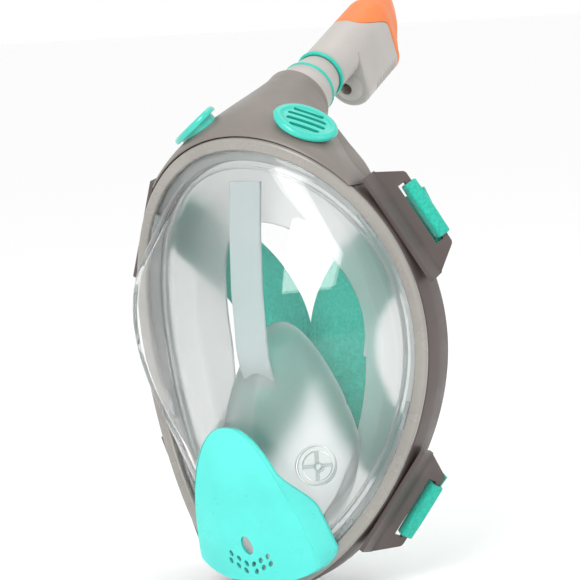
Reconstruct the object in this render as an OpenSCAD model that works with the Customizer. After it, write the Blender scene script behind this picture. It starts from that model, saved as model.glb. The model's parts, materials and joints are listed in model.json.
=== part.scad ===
// Full face snorkel mask. Z is up as worn, the window looks along -Y,
// and the origin is the centre of the face opening.

/* [Mask rim] */
// Half width of the rim at the cheeks
rim_half_w = 88; // [76:1:104]
// Half height of the rim from middle to crown
rim_half_h = 119; // [100:1:140]
// How much wider the rim is above its middle than below it
rim_egg = 0.14; // [0.05:0.01:0.2]
// How far the top and the bottom of the rim stand forward of the cheeks
rim_sweep = 34; // [24:1:42]
// Depth of the band behind the seam
band_depth = 21; // [17:1:27]
// Wall of the band
band_wall = 3; // [2:0.25:4]
// Width of the front bezel
bezel_w = 6.5; // [5:0.5:9]
// How far the bezel stands in front of the seam
bezel_rise = 4; // [3:0.5:6]

/* [Window] */
// Half width of the front facet
facet_half_w = 70; // [60:1:76]
// Half height of the front facet
facet_half_h = 76; // [66:1:84]
// Height of the middle of the facet over the origin
facet_mid_z = 9; // [4:1:14]
// How far the facet's edge stands forward of the origin
facet_forward = 39; // [34:1:46]
// Crown of the facet over its own edge
facet_dome = 18; // [8:1:20]
// Thickness of the window
lens_wall = 2.2; // [1.6:0.1:3]

/* [Soft parts] */
// Wall of the face skirt
skirt_wall = 2; // [1.5:0.25:3]
// Wall of the nose and mouth pocket
pocket_wall = 1.8; // [1.2:0.2:2.4]
// Width of the frosted duct strip behind the window
duct_w = 19; // [14:1:24]
// Thickness of the strap webbing
strap_t = 1.8; // [1.2:0.2:2.4]
// Width of the webbing at its end loops
strap_w = 32; // [26:1:38]

/* [Snorkel] */
// Lean of the snorkel back from upright
lean = 63; // [56:1:70]
// Radius of the plug that seats in the crown
plug_r = 14.8; // [13:0.1:16]
// Radial clearance between plug and socket
plug_fit = 0.1; // [0.05:0.05:0.4]
// Depth of the socket
socket_depth = 16; // [12:1:20]
// Wall of the socket
socket_wall = 3.4; // [2.4:0.2:4.5]
// Outer radius of the snorkel tube
tube_r = 13; // [12:0.25:15]
// Distance from the tube's axis to the float chamber's axis
chamber_off = 20; // [18:0.5:23]
// Wall of the snorkel
tube_wall = 1.8; // [1.4:0.1:2.4]
// Height of the chamber's floor over the lower ring
chamber_floor = 40; // [36:1:46]
// Height of the cap's tip over the lower ring
snorkel_top = 97; // [90:1:110]
// Radius of the float
float_r = 9.6; // [8:0.1:10]
// Travel of the float
float_travel = 9; // [5:1:14]

/* [Valves] */
// Radius of a valve flap
flap_r = 9; // [7:0.5:11]
// Thickness of a valve flap
flap_t = 0.8; // [0.6:0.1:1.2]
// Travel of a valve flap
flap_travel = 1.5; // [0.8:0.1:2.5]
// Radius of a valve's middle pin
pin_r = 1.6; // [1.2:0.1:2.2]
// Radial clearance between a flap and its pin
pin_fit = 0.08; // [0.05:0.01:0.2]

/* [Fits] */
// Gap between pieces that only lie next to each other
gap = 0.3; // [0.2:0.05:0.5]

/* [Hidden] */
$fn = 48;
stations = 64;                              // sections round a ring
taupe = [0.42, 0.38, 0.36];
pale_grey = [0.80, 0.79, 0.77];
teal = [0.18, 0.77, 0.70];
aqua = [0.35, 0.88, 0.84];
frosted = [0.82, 0.90, 0.89, 0.7];
orange = [0.93, 0.53, 0.28];

// ---- Master curves -------------------------------------------------------
// Station angle, counted from the left cheek over the crown
function turn(i, n = stations) = 360 * i / n;
function egg(t) = 1 + rim_egg * sin(t) - 0.037 * pow(sin(t), 2);
function rim_x(t) = rim_half_w * cos(t) * egg(t);
function rim_z(t) = rim_half_h * sin(t);
function rim_y(t) = -4 * pow(rim_x(t) / rim_half_w, 2) - 1.7 * sin(t) - rim_sweep * pow(sin(t), 2);
// Direction along the rim, then the outward one in the upright plane
function rim_dx(t) = rim_half_w * (-sin(t) * egg(t) + cos(t) * (rim_egg * cos(t) - 0.074 * sin(t) * cos(t)));
function rim_dz(t) = rim_half_h * cos(t);
function out_x(t) = rim_dz(t) / norm([rim_dx(t), rim_dz(t)]);
function out_z(t) = -rim_dx(t) / norm([rim_dx(t), rim_dz(t)]);
// A point n outward of the rim and d behind it
function at_rim(t, n, d) = [rim_x(t) + n * out_x(t), rim_y(t) + d, rim_z(t) + n * out_z(t)];
// Edge of the front facet, and a point at share q of the way out to it
function facet_x(t) = facet_half_w * cos(t) * (1 + 0.294 * sin(t));
function facet_y(t) = -facet_forward + 1.8 * pow(cos(t), 2) + 6.1 * sin(t) + 1.5 * pow(sin(t), 2)
    - 9 * pow(max(0, sin(t)), 4);
function at_facet(t, q, inset = 0) = let (k = 1 - inset / facet_half_h)
    [q * k * facet_x(t), facet_y(t) * pow(q, 2) - (facet_forward + 2) * (1 - pow(q, 2))
     - facet_dome * (1 - pow(q, 2)) + inset, facet_mid_z + q * k * facet_half_h * sin(t)];
function mix(a, b, s) = a * (1 - s) + b * s;

// ---- Loft helpers --------------------------------------------------------
// Joins closed loops into a closed ring of sections
module ring_body(loops) {
    n = len(loops);
    m = len(loops[0]);
    polyhedron(points = [for (l = loops) each l],
        faces = [for (i = [0:n-1], j = [0:m-1])
            let (a = i*m + j, b = i*m + (j+1)%m, c = ((i+1)%n)*m + (j+1)%m, d = ((i+1)%n)*m + j)
            each [[a, b, c], [a, c, d]]]);
}
// Joins loops into a closed skin that ends in a point on both sides
module shell_body(loops, first, last) {
    n = len(loops);
    m = len(loops[0]);
    polyhedron(points = concat([for (l = loops) each l], [first, last]),
        faces = concat(
            [for (i = [0:n-2], j = [0:m-1])
                let (a = i*m + j, b = i*m + (j+1)%m, c = (i+1)*m + (j+1)%m, d = (i+1)*m + j)
                each [[a, c, b], [a, d, c]]],
            [for (j = [0:m-1]) [n*m, j, (j+1)%m]],
            [for (j = [0:m-1]) [n*m + 1, (n-1)*m + (j+1)%m, (n-1)*m + j]]));
}
// A ring whose section is the list [outward, behind], the same all round
module rim_ring(section) ring_body([for (i = [0:stations-1]) [for (p = section) at_rim(turn(i), p[0], p[1])]]);
module left_and_right(side) mirror([side < 0 ? 1 : 0, 0, 0]) children();
module at_snorkel() translate(ring_centre) rotate([-lean, 0, 0]) children();

ring_centre = [0, rim_y(90) + 72.2, rim_half_h + 21.5];
socket_top = -13;
plug_low = socket_top - socket_depth + 1;
socket_bore = plug_r + plug_fit;
socket_r = socket_bore + socket_wall;
flange_in = bezel_w + 5.5;                  // inner edge of the window's flange
flange_out = bezel_w + gap;
shelf_d = 1 + gap;                          // front of the band's shelf

// ---- Hard shells ---------------------------------------------------------
module front_bezel() color(taupe * 1.5) rim_ring([[0, 0], [0.4, -bezel_rise * 0.6], [-0.8, -bezel_rise],
    [-bezel_w + 0.8, -bezel_rise], [-bezel_w, -bezel_rise + 0.9], [-bezel_w, 0]]);

module rear_band() color(taupe) difference() {
    rim_ring([[0, gap], [-flange_in, gap + shelf_d], [-flange_in, gap + shelf_d + 2.2],
        [-band_wall - 1, gap + shelf_d + 2.2], [-band_wall, gap + shelf_d + 4], [-band_wall, band_depth],
        [0, band_depth], [0.6, band_depth / 2]]);
    translate([-duct_w, rim_y(90) + 7, rim_half_h - 8]) cube([2 * duct_w, band_depth - 11, 16]);
}

// Flange, side wall and domed front facet as one clear moulding
module visor_lens() color([0.9, 0.93, 0.93, 0.35]) {
    walls = [0, 0.2, 0.4, 0.6, 0.8];
    facets = [1, 0.85, 0.68, 0.5, 0.32, 0.15];
    outer_foot = [for (i = [0:stations-1]) at_rim(turn(i), -flange_out - clip_w - 2 * gap, -1.6)];
    inner_foot = [for (i = [0:stations-1]) at_rim(turn(i), -flange_in - lens_wall, -0.4)];
    outer_rows = concat([for (s = walls) [for (i = [0:stations-1])
            mix(outer_foot[i], at_facet(turn(i), 1), s) + [0, -3.4 * s * (1 - s), 0]]],
        [for (q = facets) [for (i = [0:stations-1]) at_facet(turn(i), q)]]);
    inner_rows = concat([for (q = [0.15, 0.32, 0.5, 0.68, 0.85, 1])
            [for (i = [0:stations-1]) at_facet(turn(i), q, lens_wall)]],
        [for (s = [0.8, 0.6, 0.4, 0.2]) [for (i = [0:stations-1])
            mix(inner_foot[i], at_facet(turn(i), 1, lens_wall), s) + [0, -3.4 * s * (1 - s), 0]]]);
    flange = [for (p = [[-flange_in - lens_wall, -0.4], [-flange_in, 0.9], [-flange_out, -0.2],
            [-flange_out, -1.6]]) [for (i = [0:stations-1]) at_rim(turn(i), p[0], p[1])]];
    difference() {
        shell_body(concat(inner_rows, flange, outer_rows), at_facet(0, 0, lens_wall), at_facet(0, 0));
        at_chin_valve() cylinder(r = flap_r + 1.4 + gap, h = 12, center = true);
    }
}

// Soft bead that seals the window's flange on the band
module visor_seal() color(taupe * 0.5) let (n = flange_in + lens_wall + gap)
    rim_ring([[-n, 0.5], [-n - 1.6, 1], [-n - 1.6, 3.4], [-n, 3.4]]);

// Clips that hook over the window's flange, all of one shape
clip_turns = [40, -14, -50, 140, 194, 230];
clip_w = 2.2;
module visor_clips() color([0.75, 0.78, 0.78, 0.6]) for (t = clip_turns)
    on_rim(t, -flange_out - clip_w / 2 - 0.2, -2.4) translate([-7.5, -0.6, -clip_w / 2]) cube([15, 1.1, clip_w]);
// x down along the rim, y backward and z outward, at a station angle
module on_rim(t, n, d) {
    ahead = at_rim(t - 6, 0, 0) - at_rim(t + 6, 0, 0);
    slope = atan2(ahead[1], norm([ahead[0], ahead[2]]));
    p = at_rim(t, n, d);
    multmatrix([[out_z(t), 0, out_x(t), p[0]], [0, 1, 0, p[1]], [-out_x(t), 0, out_z(t), p[2]], [0, 0, 0, 1]])
        rotate([0, 0, slope]) children();
}

// ---- Crown and socket ----------------------------------------------------
crown_half = 39;                            // reach of the crown down the rim, as an angle
function crown_base(a, n) = abs(a) <= 90
    ? at_rim(90 - a / 90 * crown_half, n, -bezel_rise + 0.5)
    : let (w = a > 0 ? 180 - a : -180 - a) at_rim(90 - w / 90 * crown_half, n, band_depth - 2);
function snorkel_pt(x, m, a) = ring_centre
    + [x, m * cos(lean) + a * sin(lean), -m * sin(lean) + a * cos(lean)];
function crown_pt(a, v, n, r) = let (p = crown_base(a, n), q = snorkel_pt(r * sin(a), -r * cos(a), socket_top - 1),
    lift = [0, 4, 12] * (abs(a) <= 90 ? 1 : 0.3), pull = [0, sin(lean), cos(lean)] * 14)
    pow(1-v, 3) * p + 3 * v * pow(1-v, 2) * (p + lift) + 3 * v * v * (1-v) * (q - pull) + pow(v, 3) * q;
crown_wall = 2.4;
module crown_shell() color(taupe * 1.1) {
    steps = [0:0.125:1];
    difference() {
        ring_body([for (i = [0:47]) let (a = -180 + 7.5 * i)
            concat([for (v = steps) crown_pt(a, v, 0.6 + gap, socket_r - 0.4)],
                [for (v = [1:-0.125:0]) crown_pt(a, v, 0.6 + gap, socket_r - 0.4)
                    + crown_wall * crown_in(a, v)])]);
        at_snorkel() translate([0, 0, socket_top - socket_depth - 2])
            cylinder(r = socket_bore + 0.6, h = socket_depth + 1.5);
        for (side = [-1, 1]) left_and_right(side) at_vent() rotate([0, 0, vent_turn]) {
            translate([0, 0, -16]) linear_extrude(height = 24) leaf(-3 + gap);
            translate([0, 0, -0.2]) linear_extrude(height = 8) leaf(gap);
        }
    }
    at_snorkel() translate([0, 0, socket_top - socket_depth]) difference() {
        cylinder(r = socket_r, h = socket_depth);
        translate([0, 0, -1]) cylinder(r = socket_bore, h = socket_depth + 2);
    }
}
// Inward direction of the crown's wall: toward the axis of the air way
function crown_in(a, v) = let (p = crown_pt(a, v, 0.6 + gap, socket_r - 0.4),
    c = mix([0, rim_y(90) + 8, rim_half_h - 14], snorkel_pt(0, 0, socket_top), v), d = c - p)
    v == 0 ? [0, sign(abs(a) - 90) * -0.8, 0] : d / norm(d);
vent_centre = [33.4, rim_y(90) + 13.3, rim_half_h + 5];
vent_yaw = 58;                              // turn of the vent's face to the side
vent_pitch = 49;                            // turn of the vent's face upward
// Puts a part's z axis along the outward direction of a crown vent
module at_vent() translate(vent_centre) rotate([0, 0, vent_yaw]) rotate([90 - vent_pitch, 0, 0]) children();
vent_turn = -34;                            // turn of the leaf in its own face
vent_long = 20;
vent_wide = 12.5;
vent_out = 3.5;                             // how far the vent cover stands out of its seat
module leaf(grow) {
    r = (vent_long * vent_long + vent_wide * vent_wide) / (2 * vent_wide);
    intersection() {
        translate([0, vent_wide - r]) circle(r = r + grow, $fn = 96);
        translate([0, r - vent_wide]) circle(r = r + grow, $fn = 96);
        circle(r = vent_long - 2 + grow);
    }
}
module vent_cover(side) color(teal) left_and_right(side) at_vent() rotate([0, 0, vent_turn]) difference() {
    union() {
        linear_extrude(height = vent_out) leaf(0);
        translate([0, 0, -4]) linear_extrude(height = 4.5) leaf(-3);
    }
    translate([0, 0, -4.5]) linear_extrude(height = 5) leaf(-4.5);
    for (k = [-1.5:1:1.5]) translate([-8, k * 4.2 - 0.9, -1]) cube([16, 1.8, 8]);
}
module vent_flap(side) color(frosted) left_and_right(side) at_vent() rotate([0, 0, vent_turn])
    translate([0, 0, -4.1 - flap_t]) linear_extrude(height = flap_t) leaf(-3.4);

// ---- Soft shells of the face side ---------------------------------------
function lip_reach(t) = 40 - 14 * pow(sin(t), 2) - 13 * max(0, -sin(t));
module face_skirt() color(frosted) ring_body([for (i = [0:stations-1])
    let (t = turn(i), w = skirt_wall, r = lip_reach(t), near = -band_wall - gap - 0.6)
    [for (p = [[near, 5.4 + shelf_d], [-flange_in, 5.4 + shelf_d], [-flange_in, 5.4 + shelf_d + w],
        [near - w, 5.4 + shelf_d + w], [near - w - 1, band_depth + 1], [near - 7, band_depth + 4 - w],
        [near - 16, band_depth + 3 - w], [-r, band_depth - 6], [-r, band_depth - 6 + w], [near - 16, band_depth + 3 + w],
        [near - 6, band_depth + 4.5], [near, band_depth + 2]]) at_rim(t, p[0], p[1])]]);

// Nose and mouth pocket: a half egg open to the face
pocket_mid = [0, 4, -41];
pocket_half = [40, 38, 53];
function pocket_pt(a, q, w) = let (h = pocket_half - [w, w, w], z = sin(a), narrow = 1 - 0.22 * max(0, z))
    [pocket_mid[0] + q * h[0] * cos(a) * narrow,
     pocket_mid[1] - h[1] * pow(1 - q * q, 0.6) - 7 * max(0, z) * q, pocket_mid[2] + q * h[2] * z];
module nose_pocket() color(frosted) difference() {
    rows = [0.15, 0.35, 0.55, 0.72, 0.85, 0.94, 1];
    outer_loops = [for (k = [6:-1:0]) [for (i = [0:47]) pocket_pt(turn(i, 48), rows[k], 0)]];
    inner_loops = [for (q = rows) [for (i = [0:47]) pocket_pt(turn(i, 48), q, pocket_wall)]];
    shell_body(concat(inner_loops, outer_loops), pocket_pt(0, 0, pocket_wall), pocket_pt(0, 0, 0));
    for (side = [-1, 1]) left_and_right(side) at_pocket_valve()
        cylinder(r = flap_r + 1.4 + gap, h = 30, center = true);
    at_chin_valve() cylinder(r = flap_r + 1.4 + gap, h = 44, center = true);
}
pocket_valve_at = [29, -21.5, -52.5];
pocket_valve_yaw = 46;
module at_pocket_valve() translate(pocket_valve_at) rotate([0, 0, pocket_valve_yaw]) rotate([90, 0, 0]) children();
chin_valve_at = [0, -41.2, -80];
module at_chin_valve() translate(chin_valve_at) rotate([105, 0, 0]) children();

// Seat ring with a cross and a middle pin, its flap sits on the outer side
module valve_seat() {
    rotate_extrude() translate([flap_r - 1, -1.2]) square([2.4, 2]);
    for (a = [0, 90]) rotate([0, 0, a]) translate([-flap_r + 0.5, -0.9, -1.2]) cube([2 * flap_r - 1, 1.8, 1.2]);
    translate([0, 0, -1.2]) cylinder(r = pin_r, h = 1.2 + flap_t + flap_travel + 1.6);
    translate([0, 0, flap_t + flap_travel + 1.0]) cylinder(r = pin_r + 1, h = 1.2);
}
module valve_flap() translate([0, 0, 0.1]) difference() {
    cylinder(r = flap_r - 1.3, h = flap_t);
    translate([0, 0, -1]) cylinder(r = pin_r + pin_fit, h = flap_t + 2);
}
module pocket_valve_seat(side) color(frosted) left_and_right(side) at_pocket_valve() valve_seat();
module pocket_valve_flap(side) color(frosted) left_and_right(side) at_pocket_valve() valve_flap();
module chin_valve_seat() color(frosted) at_chin_valve() valve_seat();
module chin_valve_flap() color(frosted) at_chin_valve() valve_flap();

// Frosted strip from the air inlet down to the pocket
duct_top = 96;
duct_bottom = 22;
function duct_y(z) = -33 - 0.05 * (40 - abs(z - 40)) + 0.06 * max(0, z - 70);
module centre_duct() color(frosted) {
    levels = [for (k = [0:10]) mix(duct_bottom, duct_top, k / 10)];
    outline = concat([for (z = levels) [duct_y(z), z]], [for (k = [10:-1:0]) [duct_y(levels[k]) + 2, levels[k]]]);
    rotate([90, 0, 90]) translate([0, 0, -duct_w / 2]) linear_extrude(height = duct_w) polygon(outline);
}

// ---- Chin cover ----------------------------------------------------------
chin_tip_z = -27;
chin_wide_z = -88;                          // height of the cover's widest place
chin_half_w = 35;
chin_low_z = -(rim_half_h - bezel_w - 1.5);
chin_tip_y = -facet_forward - 22.5;
chin_lean = (rim_y(270) - bezel_rise - 7.56 - chin_tip_y) / (chin_tip_z - chin_low_z);
chin_bow = 1.1 / rim_half_w;                // keeps the cover off the window's side walls
function chin_half(z) = chin_half_w * sqrt(max(0.0004, 1 - pow(z > chin_wide_z ? (z - chin_wide_z)
    / (chin_tip_z - chin_wide_z) : (z - chin_wide_z) / (chin_low_z - 6 - chin_wide_z), 2)));
function chin_y(x, z) = chin_bow * x * x + chin_tip_y + chin_lean * (chin_tip_z - z);
module chin_cover() color(aqua) difference() {
    cols = 24;
    rows = 18;
    grid_sheet([for (j = [0:rows]) let (z = mix(chin_low_z, chin_tip_z, sin(90 * j / rows)), h = chin_half(z))
        [for (i = [0:cols]) let (x = h * (2 * i / cols - 1)) [x, chin_y(x, z), z]]], 2);
    for (h = chin_holes) translate([h[0], -50, h[1]]) rotate([90, 0, 0]) cylinder(r = h[2], h = 60, center = true);
}
// big opening and the pattern of small ones below it: x, z, radius
chin_holes = concat([[0, -91, 4]], [for (side = [-1, 1], k = [0:2], r = [0:1]) [side * (5 + 4.6 * k - 1.2 * r),
    -99 + 2.2 * k - 5 * r, 1.6]], [[0, -104.5, 1.6]]);
module grid_sheet(outer, wall) {
    n = len(outer);
    m = len(outer[0]);
    inner = [for (l = outer) [for (p = l) p + [0, wall, 0]]];
    polyhedron(points = concat([for (l = outer) each l], [for (l = inner) each l]), faces = concat(
        [for (i = [0:n-2], j = [0:m-2]) let (a = i*m + j) each [[a, a + m, a + m + 1], [a, a + m + 1, a + 1]]],
        [for (i = [0:n-2], j = [0:m-2]) let (a = n*m + i*m + j) each [[a, a + m + 1, a + m], [a, a + 1, a + m + 1]]],
        [for (j = [0:m-2]) let (b = n*m) each [[j, j + 1, b + j + 1], [j, b + j + 1, b + j]]],
        [for (j = [0:m-2]) let (a = (n-1)*m + j, b = n*m + a) each [[a, b + 1, a + 1], [a, b, b + 1]]],
        [for (i = [0:n-2]) let (a = i*m, b = n*m + a) each [[a, b + m, a + m], [a, b, b + m]]],
        [for (i = [0:n-2]) let (a = i*m + m - 1, b = n*m + a) each [[a, a + m, b + m], [a, b + m, b]]]));
}

// ---- Straps --------------------------------------------------------------
bracket_turn = [36, -37];                   // where the brackets sit on the rim, upper and lower
bracket_len = 62;
flare = 33;                                 // turn of the flared plate out from the band
plate_t = 2.4;
bar_in = 12.6;                              // the bar that the webbing wraps
bar_out = 16;
loop_gap = 0.5;
module at_bracket(side, low) left_and_right(side) on_rim(bracket_turn[low], 0.6 + gap, band_depth / 2) children();
module at_flare() translate([0, 3, 1.2]) rotate([flare, 0, 0]) children();
module strap_bracket(side, low) color(taupe * 0.9) at_bracket(side, low) {
    translate([-bracket_len / 2, -8, 0]) cube([bracket_len, 12, plate_t]);
    at_flare() difference() {
        linear_extrude(height = plate_t, center = true) hull() {
            translate([-bracket_len / 2, -1]) square([bracket_len, 1]);
            for (e = [-1, 1]) translate([e * (strap_w / 2 + 4), bar_out - 3]) circle(r = 3);
        }
        translate([-strap_w / 2 - 1.5, bar_in - 5, -5]) cube([strap_w + 3, 5, 10]);
    }
}
module strap_loop(side, low) color(teal) at_bracket(side, low) at_flare()
    translate([-strap_w / 2, 0, 0]) rotate([90, 0, 90]) linear_extrude(height = strap_w) difference() {
        translate([bar_in - loop_gap - strap_t, -plate_t / 2 - loop_gap - strap_t])
            square([bar_out - bar_in + 2 * (loop_gap + strap_t), plate_t + 2 * (loop_gap + strap_t)]);
        translate([bar_in - loop_gap, -plate_t / 2 - loop_gap])
            square([bar_out - bar_in + 2 * loop_gap, plate_t + 2 * loop_gap]);
    }
// Each half runs from its upper loop to the middle seam and on to its lower loop
strap_ends = [for (t = bracket_turn) at_rim(t, 9, band_depth + 13)];
strap_mid = [20, 25, 6];
function strap_line(s) = let (c = 2 * strap_mid - (strap_ends[0] + strap_ends[1]) / 2)
    pow(1-s, 2) * strap_ends[0] + 2 * s * (1-s) * c + s * s * strap_ends[1];
function strap_pt(s, k) = let (d = strap_line(min(1, s + 0.01)) - strap_line(max(0, s - 0.01)),
    f = [d[2], 0, -d[0]] / norm([d[0], d[2]]), p = strap_line(s) - f * k * (strap_w / 2 + 5 * sin(180 * s)))
    [max(gap / 2, p[0]), p[1], p[2]];
module head_strap(side) color(teal) left_and_right(side)
    grid_sheet([for (i = [0:28]) [for (k = [1:-0.25:-1]) strap_pt(i / 28, k)]], strap_t);

// ---- Snorkel -------------------------------------------------------------
neck_top = 14;
ring_thick = 1.1;
lower_ring_r = plug_r - 0.7;
upper_ring_r = 12.7;
bore_r = 10.6;
chamber_bore = float_r + 0.6;
septum = 8.4;                               // front face of the wall between tube and chamber
float_len = 20;
gasket_low = chamber_floor + float_len + float_travel + 0.8;
shoulder = 82;                              // where the cap starts to close
module capsule_plan(r) {
    circle(r = r);
    translate([0, chamber_off]) circle(r = r);
    translate([-r, 0]) square([2 * r, chamber_off]);
}
module snorkel_dome(inset) hull() {
    for (l = [[shoulder - 12, tube_r, 0, chamber_off], [shoulder, tube_r - 2, 0, chamber_off - 6],
              [shoulder + 9, tube_r - 5.5, 0, chamber_off - 13], [snorkel_top, 3, 0, 4]])
        for (m = [l[2], l[3]]) translate([0, m, l[0] - inset]) cylinder(r = l[1] - inset, h = 0.1, $fn = 32);
}
// Edge of the cap in side view: low at the front, high over the chamber
function cap_edge(m) = let (k = max(0, min(1, (m + tube_r) / (tube_r + 3)))) 50 + 22 * k * k * (3 - 2 * k);
module cap_zone(extra) rotate([90, 0, 90]) translate([0, 0, -30]) linear_extrude(height = 60)
    polygon(concat([for (m = [-tube_r - 2:1.5:4]) [m, cap_edge(m) + extra]], [[50, 72 + extra], [50, 130], [-30, 130],
        [-30, 50 + extra]]));
module snorkel_tube() color(pale_grey) at_snorkel() difference() {
    union() {
        translate([0, 0, plug_low]) cylinder(r = plug_r, h = -plug_low + 1.5);
        translate([0, 0, 1.5]) cylinder(r1 = plug_r - 0.6, r2 = 12, h = neck_top - 1.5);
        translate([0, 0, neck_top]) cylinder(r = 12, h = 4);
        translate([0, 0, 17]) cylinder(r = tube_r, h = chamber_floor - 4.5 - 17);
        translate([0, 0, chamber_floor - 4.5]) linear_extrude(height = shoulder - chamber_floor) capsule_plan(tube_r);
    }
    translate([0, 0, plug_low - 1]) cylinder(r = bore_r, h = 50);
    translate([0, 0, 10]) intersection() {
        cylinder(r = bore_r, h = 100);
        translate([-20, -20, -1]) cube([40, 20 + septum, 102]);
    }
    translate([0, chamber_off, chamber_floor - 6]) cylinder(r = chamber_bore, h = 60);
    for (g = [[0, lower_ring_r], [neck_top, upper_ring_r]]) translate([0, 0, g[0] - 1.3]) difference() {
        cylinder(r = 20, h = 2.6);
        translate([0, 0, -1]) cylinder(r = g[1] - ring_thick - 0.02, h = 5);
    }
    for (k = [0:6], side = [-1, 1]) translate([side * 8 - 5.5, chamber_off + 3, chamber_floor + 5 + 3.6 * k])
        cube([11, 20, 1.5]);
    cap_zone(0);
}
module snorkel_cap() color(orange) at_snorkel() intersection() {
    difference() {
        union() {
            snorkel_dome(0);
            translate([0, 0, 48]) linear_extrude(height = 24) capsule_plan(tube_r);
        }
        translate([0, 0, 40]) linear_extrude(height = shoulder - 52) capsule_plan(tube_r - tube_wall);
        snorkel_dome(tube_wall);
        for (side = [-1, 1]) translate([side * 7 - 3, chamber_off - 2, 76]) cube([6, 20, 2]);
    }
    cap_zone(gap);
}
module chamber_stopper() color(frosted) at_snorkel() translate([0, chamber_off, chamber_floor]) difference() {
    union() {
        difference() {
            translate([0, 0, 6]) sphere(r = tube_r + 1);
            translate([-20, -20, -4.5 - gap]) cube(40);
            translate([0, -chamber_off, -20]) cylinder(r = tube_r + gap, h = 40);
        }
        translate([0, 0, -4.5 - gap]) cylinder(r = chamber_bore - 0.1, h = 4.5 + gap);
    }
    translate([0, 0, -30]) cylinder(r = 3.6, h = 40);
}
module float() color(orange) at_snorkel() translate([0, chamber_off, chamber_floor + gap]) rotate_extrude()
    polygon([[0, 0], [float_r - 2.5, 0], [float_r, 2.5], [float_r, float_len - 4], [float_r - 4, float_len],
        [0, float_len]]);
module float_gasket() color(teal) at_snorkel() translate([0, chamber_off, gasket_low + 0.3]) difference() {
    cylinder(r = chamber_bore - 0.1, h = 2);
    translate([0, 0, -1]) cylinder(r = 6.5, h = 4);
}
module neck_ring(z, r) color(teal) at_snorkel() translate([0, 0, z]) rotate_extrude() translate([r, 0])
    circle(r = ring_thick);

visor_lens();
visor_seal();
visor_clips();
front_bezel();
rear_band();
crown_shell();
face_skirt();
nose_pocket();
centre_duct();
chin_cover();
chin_valve_seat();
chin_valve_flap();
vent_cover(1);  // vent_cover_left
vent_cover(-1);  // vent_cover_right
vent_flap(1);  // vent_flap_left
vent_flap(-1);  // vent_flap_right
pocket_valve_seat(1);  // pocket_valve_seat_left
pocket_valve_seat(-1);  // pocket_valve_seat_right
pocket_valve_flap(1);  // pocket_valve_flap_left
pocket_valve_flap(-1);  // pocket_valve_flap_right
strap_bracket(1, 0);  // strap_bracket_upper_left
strap_bracket(-1, 0);  // strap_bracket_upper_right
strap_bracket(1, 1);  // strap_bracket_lower_left
strap_bracket(-1, 1);  // strap_bracket_lower_right
strap_loop(1, 0);  // strap_loop_upper_left
strap_loop(-1, 0);  // strap_loop_upper_right
strap_loop(1, 1);  // strap_loop_lower_left
strap_loop(-1, 1);  // strap_loop_lower_right
head_strap(1);  // head_strap_left
head_strap(-1);  // head_strap_right
snorkel_tube();
snorkel_cap();
chamber_stopper();
float();
float_gasket();
neck_ring(0, lower_ring_r);  // neck_ring_lower
neck_ring(neck_top, upper_ring_r);  // neck_ring_upper
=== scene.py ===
import json
import math
import bmesh
import bpy
import numpy as np
from mathutils import Matrix, Vector


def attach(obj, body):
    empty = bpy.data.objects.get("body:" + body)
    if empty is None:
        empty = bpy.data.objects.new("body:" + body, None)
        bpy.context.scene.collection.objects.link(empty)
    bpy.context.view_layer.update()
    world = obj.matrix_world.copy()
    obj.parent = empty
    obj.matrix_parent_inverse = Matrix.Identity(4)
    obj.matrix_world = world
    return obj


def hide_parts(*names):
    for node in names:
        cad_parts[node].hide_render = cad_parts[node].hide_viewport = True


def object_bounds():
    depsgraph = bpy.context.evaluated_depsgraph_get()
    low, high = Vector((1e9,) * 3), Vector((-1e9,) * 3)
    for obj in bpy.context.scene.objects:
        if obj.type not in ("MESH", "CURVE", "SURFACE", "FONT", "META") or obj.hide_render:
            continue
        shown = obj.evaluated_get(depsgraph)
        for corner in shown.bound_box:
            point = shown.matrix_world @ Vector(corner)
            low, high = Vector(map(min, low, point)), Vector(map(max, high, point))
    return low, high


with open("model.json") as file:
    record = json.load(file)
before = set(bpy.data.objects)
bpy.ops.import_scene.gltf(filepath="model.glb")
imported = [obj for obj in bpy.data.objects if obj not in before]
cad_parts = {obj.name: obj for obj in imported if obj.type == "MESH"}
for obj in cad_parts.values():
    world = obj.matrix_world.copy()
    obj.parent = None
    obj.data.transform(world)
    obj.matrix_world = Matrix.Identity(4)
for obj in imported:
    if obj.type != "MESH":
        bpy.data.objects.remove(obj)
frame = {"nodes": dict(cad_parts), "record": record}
cad_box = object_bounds()

# ---------------------------------------------------------------------------
# Driving sizes of the mask, in millimetres, as the CAD frame has them
# ---------------------------------------------------------------------------
RIM_W, RIM_H, RIM_SWEEP = 88.0, 119.0, 34.0
BEZEL_W, BEZEL_RISE = 6.5, 4.0
BAND_DEPTH, BAND_WALL = 21.0, 3.0
GAP = 0.3
FACET_W, FACET_H, FACET_Z, FACET_FORWARD, FACET_DOME = 70.0, 76.0, 9.0, 39.0, 18.0
LENS_WALL = 2.2
LEAN = math.radians(63)
RING_CENTRE = np.array([0.0, -1.7 - RIM_SWEEP + 72.2, RIM_H + 21.5])
AXIS = np.array([0.0, math.sin(LEAN), math.cos(LEAN)])
BEHIND = np.array([0.0, math.cos(LEAN), -math.sin(LEAN)])
SIDE = np.array([1.0, 0.0, 0.0])
SOCKET_TOP, SOCKET_R = -13.0, 18.3
TUBE_R, CHAMBER_OFF = 13.0, 20.0
BRACKET_TURN = (36.0, -37.0)
STRAP_W, STRAP_T = 32.0, 1.8
AROUND = 192                    # stations round a fine ring
MM = 0.001


# ---------------------------------------------------------------------------
# Master curves, shared by every shell
# ---------------------------------------------------------------------------
def egg(t):
    s = math.sin(t)
    return 1 + 0.14 * s - 0.037 * s * s


def rim_xyz(t):
    x = RIM_W * math.cos(t) * egg(t)
    s = math.sin(t)
    return x, -4 * (x / RIM_W) ** 2 - 1.7 * s - RIM_SWEEP * s * s, RIM_H * s


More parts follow.
